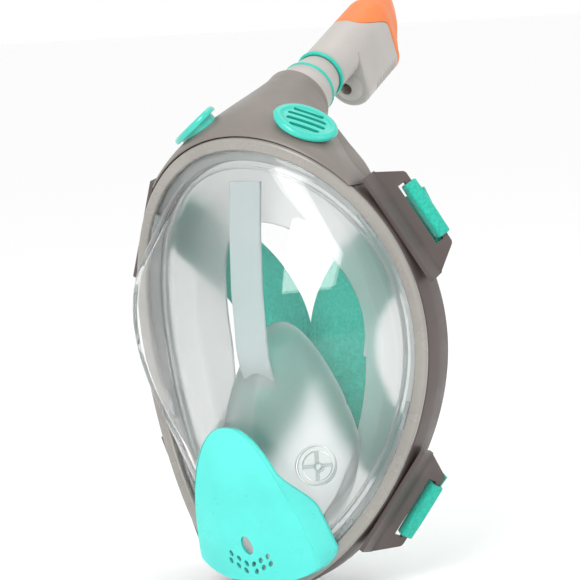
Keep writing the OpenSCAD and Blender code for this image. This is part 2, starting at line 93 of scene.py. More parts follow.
def outward(t):
    s, c = math.sin(t), math.cos(t)
    dx = RIM_W * (-s * egg(t) + c * (0.14 * c - 0.074 * s * c))
    dz = RIM_H * c
    length = math.hypot(dx, dz)
    return dz / length, -dx / length


def at_rim(t, n, d):
    """The point n outward of the rim and d behind its seam, at angle t."""
    x, y, z = rim_xyz(t)
    ox, oz = outward(t)
    return np.array([x + n * ox, y + d, z + n * oz])


def at_facet(t, q, inset=0.0):
    """A point of the front facet, q of the way from its middle to its edge."""
    s, c = math.sin(t), math.cos(t)
    edge = -FACET_FORWARD + 1.8 * c * c + 6.1 * s + 1.5 * s * s - 9 * max(0.0, s) ** 4
    k = q * (1 - inset / FACET_H)
    y = edge * q * q - (FACET_FORWARD + 2 + FACET_DOME) * (1 - q * q) + inset
    return np.array([k * FACET_W * c * (1 + 0.294 * s), y, FACET_Z + k * FACET_H * s])


def mix(a, b, s):
    return a * (1 - s) + b * s


def smooth(s):
    s = min(1.0, max(0.0, s))
    return s * s * (3 - 2 * s)


def turns(count=AROUND):
    return [2 * math.pi * i / count for i in range(count)]


# ---------------------------------------------------------------------------
# Meshes
# ---------------------------------------------------------------------------
def piece(name, verts, faces, body, slot, material, flat=False):
    mesh = bpy.data.meshes.new(name)
    mesh.from_pydata([tuple(np.asarray(v) * MM) for v in verts], [], faces)
    mesh.validate()
    return finish_piece(name, mesh, body, slot, material, flat)


def finish_piece(name, mesh, body, slot, material, flat=False):
    obj = bpy.data.objects.new(name, mesh)
    bpy.context.scene.collection.objects.link(obj)
    tidy_normals(mesh)
    mesh.materials.clear()
    mesh.materials.append(material)
    mesh.polygons.foreach_set("use_smooth", [not flat] * len(mesh.polygons))
    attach(obj, body)
    return obj


def tidy_normals(mesh):
    work = bmesh.new()
    work.from_mesh(mesh)
    bmesh.ops.remove_doubles(work, verts=work.verts, dist=1e-6)
    bmesh.ops.recalc_face_normals(work, faces=work.faces)
    work.to_mesh(mesh)
    work.free()


def ring_faces(n, m, closed=True):
    faces = []
    for i in range(n if closed else n - 1):
        for j in range(m):
            k = (i + 1) % n
            faces.append((i * m + j, i * m + (j + 1) % m, k * m + (j + 1) % m, k * m + j))
    return faces


def ring_of_sections(loops):
    """Closed loops of points joined round into a closed ring."""
    return [p for loop in loops for p in loop], ring_faces(len(loops), len(loops[0]))


def capped_loft(loops, first=None, last=None):
    """Loops joined in a row, closed by a point or a flat face at each end."""
    n, m = len(loops), len(loops[0])
    verts = [p for loop in loops for p in loop]
    faces = ring_faces(n, m, closed=False)
    for end, start in ((first, 0), (last, (n - 1) * m)):
        if end is None:
            faces.append(tuple(range(start, start + m)))
        else:
            verts.append(end)
            faces += [(len(verts) - 1, start + j, start + (j + 1) % m) for j in range(m)]
    return verts, faces


def rounded(section, radius=0.7, steps=4):
    """A closed outline with each corner turned into a short curve."""
    points = []
    count = len(section)
    for i in range(count):
        before, here, after = (np.array(section[(i + k) % count], float) for k in (-1, 0, 1))
        a, b = before - here, after - here
        la, lb = np.linalg.norm(a), np.linalg.norm(b)
        r = min(radius, la * 0.45, lb * 0.45)
        p, q = here + a / la * r, here + b / lb * r
        for s in np.linspace(0, 1, steps):
            points.append((1 - s) ** 2 * p + 2 * s * (1 - s) * here + s * s * q)
    return points


def rim_ring(section, radius=0.7):
    outline = rounded(section, radius)
    return ring_of_sections([[at_rim(t, p[0], p[1]) for p in outline] for t in turns()])


def both_sides(make):
    """Builds the left piece and its mirror image."""
    for side, word in ((1, "left"), (-1, "right")):
        make(side, word)


# ---------------------------------------------------------------------------
# Finishes
# ---------------------------------------------------------------------------
def linear(r, g, b):
    def straight(c):
        return (c / 255) / 12.92 if c <= 10 else ((c / 255 + 0.055) / 1.055) ** 2.4
    return tuple(straight(c) for c in (r, g, b)) + (1,)


class Finish:
    """A Principled material on Object coordinates, with helpers for its detail."""

    def __init__(self, name, **values):
        self.material = bpy.data.materials.new(name)
        self.material.use_nodes = True
        self.nodes = self.material.node_tree.nodes
        self.links = self.material.node_tree.links
        self.shader = self.nodes["Principled BSDF"]
        for socket, value in values.items():
            self.shader.inputs[socket.replace("_", " ")].default_value = value
        self.place = self.nodes.new("ShaderNodeTexCoord").outputs["Object"]

    def noise(self, scale, detail=4.0, rough=0.5):
        node = self.nodes.new("ShaderNodeTexNoise")
        node.inputs["Scale"].default_value = scale
        node.inputs["Detail"].default_value = detail
        node.inputs["Roughness"].default_value = rough
        self.links.new(self.place, node.inputs["Vector"])
        return node.outputs["Fac"]

    def spread(self, source, low, high):
        node = self.nodes.new("ShaderNodeMapRange")
        node.inputs["From Min"].default_value = 0.3
        node.inputs["From Max"].default_value = 0.7
        node.inputs["To Min"].default_value = low
        node.inputs["To Max"].default_value = high
        self.links.new(source, node.inputs["Value"])
        return node.outputs["Result"]

    def two_tone(self, source, dark, light):
        node = self.nodes.new("ShaderNodeValToRGB")
        node.color_ramp.elements[0].position = 0.35
        node.color_ramp.elements[1].position = 0.65
        node.color_ramp.elements[0].color = dark
        node.color_ramp.elements[1].color = light
        self.links.new(source, node.inputs["Fac"])
        self.links.new(node.outputs["Color"], self.shader.inputs["Base Color"])

    def roughness(self, source, low, high):
        self.links.new(self.spread(source, low, high), self.shader.inputs["Roughness"])

    def bump(self, source, depth, strength=0.5):
        node = self.nodes.new("ShaderNodeBump")
        node.inputs["Distance"].default_value = depth
        node.inputs["Strength"].default_value = strength
        self.links.new(source, node.inputs["Height"])
        self.links.new(node.outputs["Normal"], self.shader.inputs["Normal"])


def shade(colour, share):
    return tuple(c * share for c in colour[:3]) + (1,)


def moulded(name, colour, low=0.28, high=0.42, grain=1400, depth=0.00004, coat=0.0, **values):
    """Moulded plastic or rubber: fine spark texture, faint cloudiness, uneven polish."""
    finish = Finish(name, Coat_Weight=coat, Coat_Roughness=0.12, **values)
    finish.two_tone(finish.noise(38, 5), shade(colour, 0.94), shade(colour, 1.05))
    finish.roughness(finish.noise(90, 6), low, high)
    finish.bump(finish.noise(grain, 2), depth, 0.35)
    return finish.material


def clear_window_finish():
    finish = Finish("clear_window", Transmission_Weight=1.0, IOR=1.06, Coat_Weight=0.8, Coat_Roughness=0.02)
    finish.shader.inputs["Base Color"].default_value = (0.985, 0.988, 0.988, 1)
    finish.roughness(finish.noise(25, 5), 0.008, 0.03)
    return finish.material


def frosted_finish(name, colour, clear, low, high, ior=1.38):
    finish = Finish(name, Transmission_Weight=clear, IOR=ior)
    finish.two_tone(finish.noise(30, 4), shade(colour, 0.97), shade(colour, 1.0))
    finish.roughness(finish.noise(120, 5), low, high)
    finish.bump(finish.noise(900, 2), 0.00003, 0.3)
    return finish.material


def webbing_finish(name, colour):
    """Woven elastic: ribs along and across the band from its own UV map."""
    finish = Finish(name, Roughness=0.85, Sheen_Weight=0.35, Sheen_Roughness=0.4)
    across = finish.nodes.new("ShaderNodeUVMap")
    across.uv_map = "weave"
    waves = []
    for direction, count in (("X", 34.0), ("Y", 34.0)):
        wave = finish.nodes.new("ShaderNodeTexWave")
        wave.bands_direction = direction
        wave.inputs["Scale"].default_value = count
        wave.inputs["Distortion"].default_value = 0.6
        wave.inputs["Detail"].default_value = 1.0
        finish.links.new(across.outputs["UV"], wave.inputs["Vector"])
        waves.append(wave.outputs["Fac"])
    weave = finish.nodes.new("ShaderNodeMath")
    weave.operation = "MULTIPLY"
    finish.links.new(waves[0], weave.inputs[0])
    finish.links.new(waves[1], weave.inputs[1])
    fuzz = finish.nodes.new("ShaderNodeMath")
    fuzz.operation = "ADD"
    finish.links.new(weave.outputs[0], fuzz.inputs[0])
    finish.links.new(finish.noise(1500, 3, 0.7), fuzz.inputs[1])
    finish.two_tone(finish.noise(700, 4, 0.7), shade(colour, 0.78), shade(colour, 1.12))
    finish.bump(fuzz.outputs[0], 0.0004, 0.8)
    return finish.material


TAUPE, WARM, BEZEL = linear(82, 72, 69), linear(122, 115, 109), linear(146, 142, 136)
TEAL, AQUA, PALE = linear(44, 190, 172), linear(84, 216, 206), linear(178, 173, 168)
ORANGE, STRAP = linear(228, 122, 60), linear(36, 182, 160)
taupe = moulded("dark_taupe", TAUPE, 0.3, 0.45)
warm_grey = moulded("warm_grey", WARM, 0.3, 0.44)
bezel_grey = moulded("bezel_grey", BEZEL, 0.2, 0.32, coat=0.3)
teal_gloss = moulded("teal_plastic", TEAL, 0.18, 0.3, coat=0.5)
teal_rubber = moulded("teal_rubber", linear(40, 190, 168), 0.3, 0.4)
aqua = moulded("aqua_plastic", AQUA, 0.26, 0.36, Subsurface_Weight=0.15, Subsurface_Scale=0.004)
pale_grey = moulded("pale_grey_plastic", PALE, 0.32, 0.46)
orange = moulded("orange_plastic", ORANGE, 0.34, 0.48)
duct_frost = frosted_finish("duct_frost", linear(222, 232, 232), 0.55, 0.45, 0.6)
clear_window = clear_window_finish()
frosted = frosted_finish("frosted_silicone", linear(240, 243, 242), 0.8, 0.42, 0.52)
pocket_clear = frosted_finish("pocket_silicone", linear(240, 245, 244), 0.9, 0.36, 0.42)
clip_clear = frosted_finish("clip_clear", linear(206, 214, 214), 0.75, 0.05, 0.12, 1.45)
clear_silicone = frosted_finish("valve_silicone", linear(232, 240, 238), 0.8, 0.12, 0.2)
webbing = webbing_finish("strap_webbing", STRAP)


# ---------------------------------------------------------------------------
# Camera, lights and floor
# ---------------------------------------------------------------------------
CAMERA_TURN, CAMERA_RISE, CAMERA_ROLL = math.radians(32.9), math.radians(8.17), math.radians(-3.23)
CAMERA_AWAY = 1.2443


def set_camera():
    data = bpy.data.cameras.new("camera")
    data.sensor_width = 36
    data.lens = 146.0
    data.shift_x = 0.0055
    data.shift_y = 0.117
    data.clip_start = 0.05
    camera = bpy.data.objects.new("camera", data)
    bpy.context.scene.collection.objects.link(camera)
    a, e, roll = CAMERA_TURN, CAMERA_RISE, CAMERA_ROLL
    back = Vector((math.sin(a) * math.cos(e), -math.cos(a) * math.cos(e), math.sin(e)))
    right = Vector((math.cos(a), math.sin(a), 0))
    up = back.cross(right)
    right, up = (right * math.cos(roll) + up * math.sin(roll), up * math.cos(roll) - right * math.sin(roll))
    turn = Matrix((right, up, back)).transposed().to_4x4()
    camera.matrix_world = Matrix.Translation(back * CAMERA_AWAY) @ turn
    bpy.context.scene.camera = camera


def softbox(name, place, aim, size, power):
    data = bpy.data.lights.new(name, "AREA")
    data.shape = "RECTANGLE"
    data.size, data.size_y = size
    data.energy = power
    light = bpy.data.objects.new(name, data)
    light.location = place
    light.rotation_euler = (Vector(aim) - Vector(place)).to_track_quat("-Z", "Y").to_euler()
    bpy.context.scene.collection.objects.link(light)


def set_stage():
    low = cad_box[0][2]
    mesh = bpy.data.meshes.new("floor")
    s = 60.0
    mesh.from_pydata([(-s, -s, low), (s, -s, low), (s, s, low), (-s, s, low)], [], [(0, 1, 2, 3)])
    floor = bpy.data.objects.new("floor", mesh)
    bpy.context.scene.collection.objects.link(floor)
    paper = bpy.data.materials.new("pale_floor")
    paper.use_nodes = True
    paper.node_tree.nodes["Principled BSDF"].inputs["Base Color"].default_value = (0.97, 0.97, 0.97, 1)
    paper.node_tree.nodes["Principled BSDF"].inputs["Roughness"].default_value = 0.9
    mesh.materials.append(paper)
    world = bpy.data.worlds.new("studio")
    world.use_nodes = True
    world.node_tree.nodes["Background"].inputs["Color"].default_value = (1, 1, 1, 1)
    world.node_tree.nodes["Background"].inputs["Strength"].default_value = 1.0
    bpy.context.scene.world = world
    bpy.context.scene.view_settings.view_transform = "Standard"
    softbox("key", (0.17, -1.05, 0.69), (0.04, -0.04, 0.06), (0.5, 0.7), 7)
    softbox("side", (1.3, -0.3, 0.5), (0, 0, 0.0), (0.3, 0.9), 1.2)
    softbox("top", (0.1, 0.3, 1.2), (0, 0, 0.1), (0.9, 0.6), 1.5)


set_camera()
set_stage()


# ---------------------------------------------------------------------------
# Shaping helpers for the pieces
# ---------------------------------------------------------------------------
def drill(mesh, cutters):
    """Cuts each closed cutter mesh out of a mesh."""
    work = bpy.data.objects.new("work", mesh)
    bpy.context.scene.collection.objects.link(work)
    tools = []
    for verts, faces in cutters:
        cutter = bpy.data.meshes.new("cutter")
        cutter.from_pydata([tuple(np.asarray(v) * MM) for v in verts], [], faces)
        tidy_normals(cutter)
        tool = bpy.data.objects.new("tool", cutter)
        bpy.context.scene.collection.objects.link(tool)
        cut = work.modifiers.new("cut", "BOOLEAN")
        cut.operation, cut.solver, cut.object = "DIFFERENCE", "EXACT", tool
        tools.append(tool)
    result = bpy.data.meshes.new_from_object(work.evaluated_get(bpy.context.evaluated_depsgraph_get()))
    for obj in [work] + tools:
        bpy.data.objects.remove(obj)
    return result


def raw_mesh(name, verts, faces):
    mesh = bpy.data.meshes.new(name)
    mesh.from_pydata([tuple(np.asarray(v) * MM) for v in verts], [], faces)
    tidy_normals(mesh)
    return mesh


def crisp(obj, degrees=35):
    """Shades a piece smooth, keeping the edges sharper than the angle."""
    obj.data.set_sharp_from_angle(angle=math.radians(degrees))
    return obj


def softened(name, node, radius, material, steps=3):
    """A fine copy of a hard CAD piece, with its edges rounded."""
    source = frame["nodes"][node]
    work = bmesh.new()
    work.from_mesh(source.data)
    bmesh.ops.remove_doubles(work, verts=work.verts, dist=2e-6)
    bmesh.ops.dissolve_limit(work, angle_limit=math.radians(4), verts=work.verts, edges=work.edges)
    edges = [e for e in work.edges if len(e.link_faces) == 2 and e.calc_face_angle(0) > math.radians(25)]
    bmesh.ops.bevel(work, geom=edges, offset=radius * MM, segments=steps, affect="EDGES", profile=0.5,
                    clamp_overlap=True)
    bmesh.ops.triangulate(work, faces=[f for f in work.faces if len(f.verts) > 4])
    mesh = bpy.data.meshes.new(name)
    work.to_mesh(mesh)
    work.free()
    obj = finish_piece(name, mesh, BODY_OF[node], SLOT_OF[node], material)
    crisp(obj)
    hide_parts(node)
    return obj


def cylinder(place, radius, low, high, count=64):
    """A closed cylinder as a cutter; place maps local x, y, z to the frame."""
    verts = [place(radius * math.cos(t), radius * math.sin(t), z) for z in (low, high) for t in turns(count)]
    faces = [(i, (i + 1) % count, count + (i + 1) % count, count + i) for i in range(count)]
    return verts, faces + [tuple(range(count))[::-1], tuple(range(count, 2 * count))]


def prism(place, outline, low, high):
    count = len(outline)
    verts = [place(p[0], p[1], z) for z in (low, high) for p in outline]
    faces = [(i, (i + 1) % count, count + (i + 1) % count, count + i) for i in range(count)]
    return verts, faces + [tuple(range(count))[::-1], tuple(range(count, 2 * count))]


def turn_x(p, a):
    s, c = math.sin(math.radians(a)), math.cos(math.radians(a))
    return np.array([p[0], p[1] * c - p[2] * s, p[1] * s + p[2] * c])


def turn_z(p, a):
    s, c = math.sin(math.radians(a)), math.cos(math.radians(a))
    return np.array([p[0] * c - p[1] * s, p[0] * s + p[1] * c, p[2]])


def placed(move, side=1):
    """A local-to-frame map, mirrored onto the right when side is -1."""
    def place(x, y, z):
        p = move(np.array([x, y, z], float))
        return np.array([side * p[0], p[1], p[2]])
    return place


def on_rim(t, n, d):
    """x down along the rim, y backward and z outward, at rim angle t."""
    ahead = at_rim(t - math.radians(6), 0, 0) - at_rim(t + math.radians(6), 0, 0)
    slope = math.degrees(math.atan2(ahead[1], math.hypot(ahead[0], ahead[2])))
    ox, oz = outward(t)
    basis = np.array([[oz, 0, ox], [0, 1, 0], [-ox, 0, oz]])
    foot = at_rim(t, n, d)
    return lambda p: foot + basis @ turn_z(p, slope)


def snorkel_pt(x, m, a):
    return RING_CENTRE + SIDE * x + BEHIND * m + AXIS * a


def lathe(profile, place, count=96):
    """A closed profile of radius and height, turned about local z."""
    loops = [[place(r * math.sin(t), -r * math.cos(t), z) for r, z in profile] for t in turns(count)]
    return ring_of_sections(loops)


BODY_OF = {node: body for body, nodes in frame["record"]["behaviour"]["bodies"].items() for node in nodes}
SLOT_OF = {row["node"]: row["material_slot"] for row in frame["record"]["subparts"]}


def stand_in(obj, node, degrees=None):
    """Shows a fine piece in the place of its CAD node."""
    if degrees:
        crisp(obj, degrees)
    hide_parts(node)
    return obj


def made(name, node, verts, faces, material, degrees=None):
    return stand_in(piece(name, verts, faces, BODY_OF[node], SLOT_OF[node], material), node, degrees)


def cut_out(name, node, verts, faces, cutters, material, degrees=30):
    mesh = drill(raw_mesh(name, verts, faces), cutters)
    return stand_in(finish_piece(name, mesh, BODY_OF[node], SLOT_OF[node], material), node, degrees)


# ---------------------------------------------------------------------------
# Window, bezel and band
# ---------------------------------------------------------------------------
FLANGE_IN, FLANGE_OUT, SHELF = BEZEL_W + 5.5, BEZEL_W + GAP, 1 + GAP
CLIP_W = 2.2
CHIN_VALVE = (0.0, -41.2, -80.0)
FLAP_R = 9.0


def at_chin_valve(p):
    return turn_x(p, 105) + np.array(CHIN_VALVE)


def window_shell():
    """Flange, side wall and domed front facet of one clear moulding."""
    foot = -FLANGE_OUT - CLIP_W - 2 * GAP
    climb = [0, 0.12, 0.24, 0.36, 0.48, 0.6, 0.72, 0.82, 0.9, 0.955, 0.985]
    dome = [0.995, 0.98, 0.95, 0.9, 0.82, 0.72, 0.6, 0.48, 0.36, 0.24, 0.12]

    def wall(t, n, d, inset, s):
        return mix(at_rim(t, n, d), at_facet(t, 1, inset), s) + np.array([0, -3.4 * s * (1 - s), 0])
    columns = turns()
    rows = [[at_facet(t, q, LENS_WALL) for t in columns] for q in dome[::-1]]
    rows += [[wall(t, -FLANGE_IN - LENS_WALL, -0.4, LENS_WALL, s) for t in columns] for s in climb[::-1]]
    for n, d in ((-FLANGE_IN, 0.9), (-FLANGE_OUT - 0.2, -0.1), (-FLANGE_OUT, -0.4), (-FLANGE_OUT, -1.3),
                 (-FLANGE_OUT - 0.3, -1.6)):
        rows.append([at_rim(t, n, d) for t in columns])
    rows += [[wall(t, foot, -1.6, 0, s) for t in columns] for s in climb]
    rows += [[at_facet(t, q) for t in columns] for q in dome]
    return capped_loft(rows, at_facet(0, 0, LENS_WALL), at_facet(0, 0))


def make_window():
    hole = cylinder(placed(at_chin_valve), FLAP_R + 1.7, -6, 6)
    cut_out("window", "visor_lens", *window_shell(), [hole], clear_window, 50)
    n = FLANGE_IN + LENS_WALL + GAP
    made("window_gasket", "visor_seal",
         *rim_ring([[-n, 0.5], [-n - 1.6, 1], [-n - 1.6, 3.4], [-n, 3.4]], 0.5), frosted)


def make_frame():
    made("bezel", "front_bezel", *rim_ring([[0, 0], [0.4, -BEZEL_RISE * 0.6], [-0.8, -BEZEL_RISE],
         [-BEZEL_W + 0.8, -BEZEL_RISE], [-BEZEL_W, -BEZEL_RISE + 0.9], [-BEZEL_W, 0]], 0.9), bezel_grey)
    shelf = GAP + SHELF
    verts, faces = rim_ring([[0, GAP], [-FLANGE_IN, shelf], [-FLANGE_IN, shelf + 2.2],
                             [-BAND_WALL - 1, shelf + 2.2], [-BAND_WALL, shelf + 4], [-BAND_WALL, BAND_DEPTH],
                             [0, BAND_DEPTH], [0.6, BAND_DEPTH / 2]], 0.8)
    top = at_rim(math.pi / 2, 0, 0)
    inlet = prism(lambda x, y, z: np.array([x, y, z]),
                  [(-19, top[1] + 7), (19, top[1] + 7), (19, top[1] + 17), (-19, top[1] + 17)],
                  RIM_H - 8, RIM_H + 8)
    band = drill(raw_mesh("rear_rim_band", verts, faces), [inlet])
    band = finish_piece("rear_rim_band", band, "mask", SLOT_OF["rear_band"], taupe)
    band.data.materials.append(frosted)
    for polygon in band.data.polygons:
        x, z = polygon.center.x / MM, polygon.center.z / MM
        t = math.atan2(z / RIM_H, x / RIM_W)
        t = min((t + k * 0.01 for k in range(-30, 31)),
                key=lambda a: (rim_xyz(a)[0] * z - rim_xyz(a)[2] * x) ** 2)
        edge = math.hypot(rim_xyz(t)[0], rim_xyz(t)[2])
        if math.hypot(x, z) < edge - BAND_WALL - 1.5:
            polygon.material_index = 1
    stand_in(band, "rear_band", 40)


make_window()
make_frame()


# ---------------------------------------------------------------------------
# Crown with its socket and two vents
# ---------------------------------------------------------------------------
CROWN_HALF = 39.0
CROWN_WALL = 2.4
VENT_CENTRE, VENT_YAW, VENT_PITCH, VENT_TURN = (33.4, -22.4, 124.0), 58.0, 49.0, -34.0
VENT_LONG, VENT_WIDE = 20.0, 12.5


def crown_pt(a, v, d):
    """The crown's outer face: from its foot at angle a and depth d up to the socket."""
    w = a if abs(a) <= 90 else (180 - a if a > 0 else -180 - a)
    r = SOCKET_R - 0.4
    p = at_rim(math.radians(90 - w / 90 * CROWN_HALF), 0.6 + GAP, d)
    q = snorkel_pt(r * math.sin(math.radians(a)), -r * math.cos(math.radians(a)), SOCKET_TOP - 1)
    lift = np.array([0, 4, 12]) * mix(1.0, 0.3, smooth((d + BEZEL_RISE - 0.5) / 22.5))
    return ((1 - v) ** 3 * p + 3 * v * (1 - v) ** 2 * (p + lift) + 3 * v * v * (1 - v) * (q - AXIS * 14)
            + v ** 3 * q)


FOOT_FRONT, FOOT_REAR = -BEZEL_RISE + 0.5, BAND_DEPTH - 2
SIDE_SHARE = 16.0               # stations given to each side of the crown, as an angle


def crown_front(u, v):
    """Front of the crown and, past 90 degrees, its two sides."""
    past = max(0.0, abs(u) - 90) / SIDE_SHARE
    return crown_pt(max(-90, min(90, u)), v, mix(FOOT_FRONT, FOOT_REAR, past))


def crown_rear(u, v):
    return crown_pt(90 + u if u <= 90 else u - 270, v, FOOT_REAR)


def walled(surface, low, high, count, steps, wall):
    """A sheet given a wall square to its outer face, thin at the foot, closed all round."""
    loops = []
    for u in np.linspace(low, high, count):
        outer, inner = [], []
        for v in steps:
            p = surface(u, v)
            level = min(v, 0.95)
            along = surface(u, level + 0.02) - surface(u, max(0, level - 0.02))
            across = surface(min(high, u + 3), level) - surface(max(low, u - 3), level)
            inward = np.cross(along, across)
            outer.append(p)
            inner.append(p + inward / np.linalg.norm(inward) * wall * min(1, 0.3 + 2.5 * v))
        loops.append(outer + inner[::-1])
    return capped_loft(loops)


def at_vent(p):
    p = turn_x(turn_z(p, VENT_TURN), 90 - VENT_PITCH)
    return turn_z(p, VENT_YAW) + np.array(VENT_CENTRE)


def leaf(grow, count=96):
    """Outline of a vent: two arcs that meet in rounded ends."""
    arc = (VENT_LONG ** 2 + VENT_WIDE ** 2) / (2 * VENT_WIDE)
    points = []
    for t in turns(count):
        c, s = math.cos(t), math.sin(t)
        k = (arc - VENT_WIDE) * abs(s)
        reach = -k + math.sqrt(k * k + (arc + grow) ** 2 - (arc - VENT_WIDE) ** 2)
        soft = ((reach ** -8) + (VENT_LONG - 2 + grow) ** -8) ** -0.125
        points.append((soft * c, soft * s))
    return points


def make_crown():
    steps = [0, 0.02, 0.06] + [k / 24 for k in range(3, 24)] + [0.985, 1]
    reach = 90 + SIDE_SHARE
    bore_r, bore_foot, bore_top = 15.5, -34, SOCKET_TOP + 0.2
    cutters = [lathe([(0.01, bore_foot), (bore_r, bore_foot), (bore_r, bore_top), (0.01, bore_top)],
                     snorkel_pt)]
    rear = raw_mesh("rear", *walled(crown_rear, 0, 180, 60, steps, CROWN_WALL))
    rear = drill(rear, cutters)
    for side in (1, -1):
        cutters.append(prism(placed(at_vent, side), leaf(-3 + GAP), -16, 8))
        cutters.append(prism(placed(at_vent, side), leaf(GAP), -0.2, 8))
    front = drill(raw_mesh("front", *walled(crown_front, -reach, reach, 120, steps, CROWN_WALL)), cutters)
    low = SOCKET_TOP - 16
    profile = rounded([(14.9, low), (SOCKET_R, low), (SOCKET_R, SOCKET_TOP), (14.9, SOCKET_TOP)], 0.8, 5)
    socket = raw_mesh("socket", *lathe(profile, snorkel_pt, 128))
    crown = joined("crown_and_socket", [front, rear, socket], "mask", "warm_grey", warm_grey)
    stand_in(crown, "crown_shell", 40)


def joined(name, meshes, body, slot, material):
    work = bmesh.new()
    for mesh in meshes:
        work.from_mesh(mesh)
    result = bpy.data.meshes.new(name)
    work.to_mesh(result)
    work.free()
    return finish_piece(name, result, body, slot, material)


def make_vent(side, word):
    """Domed leaf with a rolled edge and four rounded slots, open to the crown."""
    place = placed(at_vent, side)
    outer = [(-3, -4), (-3, 0.0), (-0.15, 0.05), (0, 0.5), (0.0, 1.6), (-0.3, 2.4), (-1.1, 3.05),
             (-2.2, 3.35),
             (-3.2, 3.4), (-3.8, 3.1), (-4.4, 2.7)]
    crest = [(-6.0, 2.75), (-8.0, 3.0), (-10.5, 3.2), (-12.2, 3.3)]
    under = [(-12.2, 1.3), (-10.5, 1.2), (-8.0, 1.0), (-6.0, 0.8), (-4.6, 0.6), (-4.5, -4.0)]

    def loops(levels):
        return [[place(x, y, z) for x, y in leaf(grow)] for grow, z in levels]
    rows = loops(outer + crest) + [[place(x * 0.02, y * 0.02, 3.35) for x, y in leaf(-12.2)]]
    rows += [[place(x * 0.02, y * 0.02, 1.35) for x, y in leaf(-12.2)]] + loops(under)
    count = len(rows[0])
    verts = [p for row in rows for p in row]
    faces = []
    for i in range(len(rows)):
        k = (i + 1) % len(rows)
        for j in range(count):
            n = (j + 1) % count
            faces.append((i * count + j, i * count + n, k * count + n, k * count + j))
    cutters = []
    for k in (-1.5, -0.5, 0.5, 1.5):
        half = 10.5 - 1.1 * k * k
        outline = []
        for t in turns(24):
            x = 1.05 * math.cos(t)
            outline.append((math.sin(t) * 1.05 + math.copysign(half - 1.05, math.sin(t)), x + k * 4.0))
        cutters.append(prism(place, outline, -2, 6))
    cut_out("vent_" + word, "vent_cover_" + word, verts, faces, cutters, teal_gloss, 50)


make_crown()
both_sides(make_vent)


# ---------------------------------------------------------------------------
# Snorkel: capsule tube and cap, and its rings
# ---------------------------------------------------------------------------
def capsule_columns(front=30, side=10, rear=30):
    """Unit plan of the snorkel: (x share, m share, share of the rear offset)."""
    columns = []
    for k in range(front):
        t = math.pi * (k + 0.5) / front - math.pi / 2
        columns.append((math.sin(t), -math.cos(t), 0.0))
    columns += [(1.0, 0.0, (k + 0.5) / side) for k in range(side)]
    for k in range(rear):
        t = math.pi / 2 - math.pi * (k + 0.5) / rear
        columns.append((math.sin(t), math.cos(t), 1.0))
    columns += [(-1.0, 0.0, 1 - (k + 0.5) / side) for k in range(side)]
    return columns


def cap_edge(m):
    return 50 + 22 * smooth((m + TUBE_R) / (TUBE_R + 3))


RIB_LOW, RIB_PITCH, RIB_COUNT = 45.0, 3.6, 7


def groove(a, x_share, off):
    """Depth of the grip grooves on both rear corners of the chamber."""
    if off < 1:
        return 0.0
    k = (a - RIB_LOW) / RIB_PITCH
    if not 0 <= k <= RIB_COUNT:
        return 0.0
    inside = smooth((abs(x_share) - 0.12) / 0.15) * smooth((1.02 - abs(x_share)) / 0.12)
    return 1.5 * inside * math.sin(math.pi * (k % 1)) ** 2


def make_tube():
    wall, floor_a = 1.8, 35.5
    neck = [(-28, 14.2), (-27.2, 14.8), (-13, 14.8), (-1.4, 14.8), (-1.1, 14.6), (-0.9, 13.2), (0.9, 13.2),
            (1.1, 14.3), (1.6, 14.2), (5, 13.6), (9, 12.9), (12.6, 12.1), (12.8, 11.4), (14.9, 11.4),
            (15.1, 12.0),
            (16.3, 12.2), (17.2, 12.8), (18.0, 13.0), (26, 13.0), (floor_a - 0.6, 13.0)]
    loops = []
    for cx, cm, off in capsule_columns():
        points = [snorkel_pt(r * cx, r * cm, a) for a, r in neck]
        for drop, inset in ((0.0, 2.6), (0.25, 1.2), (0.9, 0.4), (2.2, 0.0)):
            r = TUBE_R - (inset if off > 0 else 0)
            points.append(snorkel_pt(r * cx, r * cm + CHAMBER_OFF * off, floor_a + drop))
        end = cap_edge(TUBE_R * cm + CHAMBER_OFF * off)
        rows = np.linspace(floor_a + 2.4, end - 0.25, 150)
        for a in rows:
            r = TUBE_R - groove(a, cx, off)
            points.append(snorkel_pt(r * cx, r * cm + CHAMBER_OFF * off, a))
        for a, inset in ((end, 0.3), (end, wall), (end - 6, wall), (floor_a + 4, wall)):
            r = TUBE_R - inset
            points.append(snorkel_pt(r * cx, r * cm + CHAMBER_OFF * off, a))
        points += [snorkel_pt(10.6 * cx, 10.6 * cm, a) for a in (floor_a + 3.8, -28)]
        loops.append(points)
    verts, faces = ring_of_sections(loops)
    opening = cylinder(lambda x, y, z: snorkel_pt(x, y + CHAMBER_OFF, z), 10.15, floor_a - 5, floor_a + 6)
    cut_out("snorkel_body", "snorkel_tube", verts, faces, [opening], pale_grey, 40)


CAP_LEVELS = [(72, 13.0, 20.0), (75, 12.6, 18.4), (78, 11.7, 15.6), (80, 11.0, 13.2), (83, 10.3, 11.2),
              (86, 9.5, 9.4), (88, 8.85, 8.0), (90.5, 7.7, 6.3), (92.5, 6.7, 5.0), (94, 5.9, 3.9),
              (95.3, 4.6, 2.8),
              (96.3, 3.1, 1.9), (96.75, 1.7, 1.0), (96.9, 0.0, 0.0)]


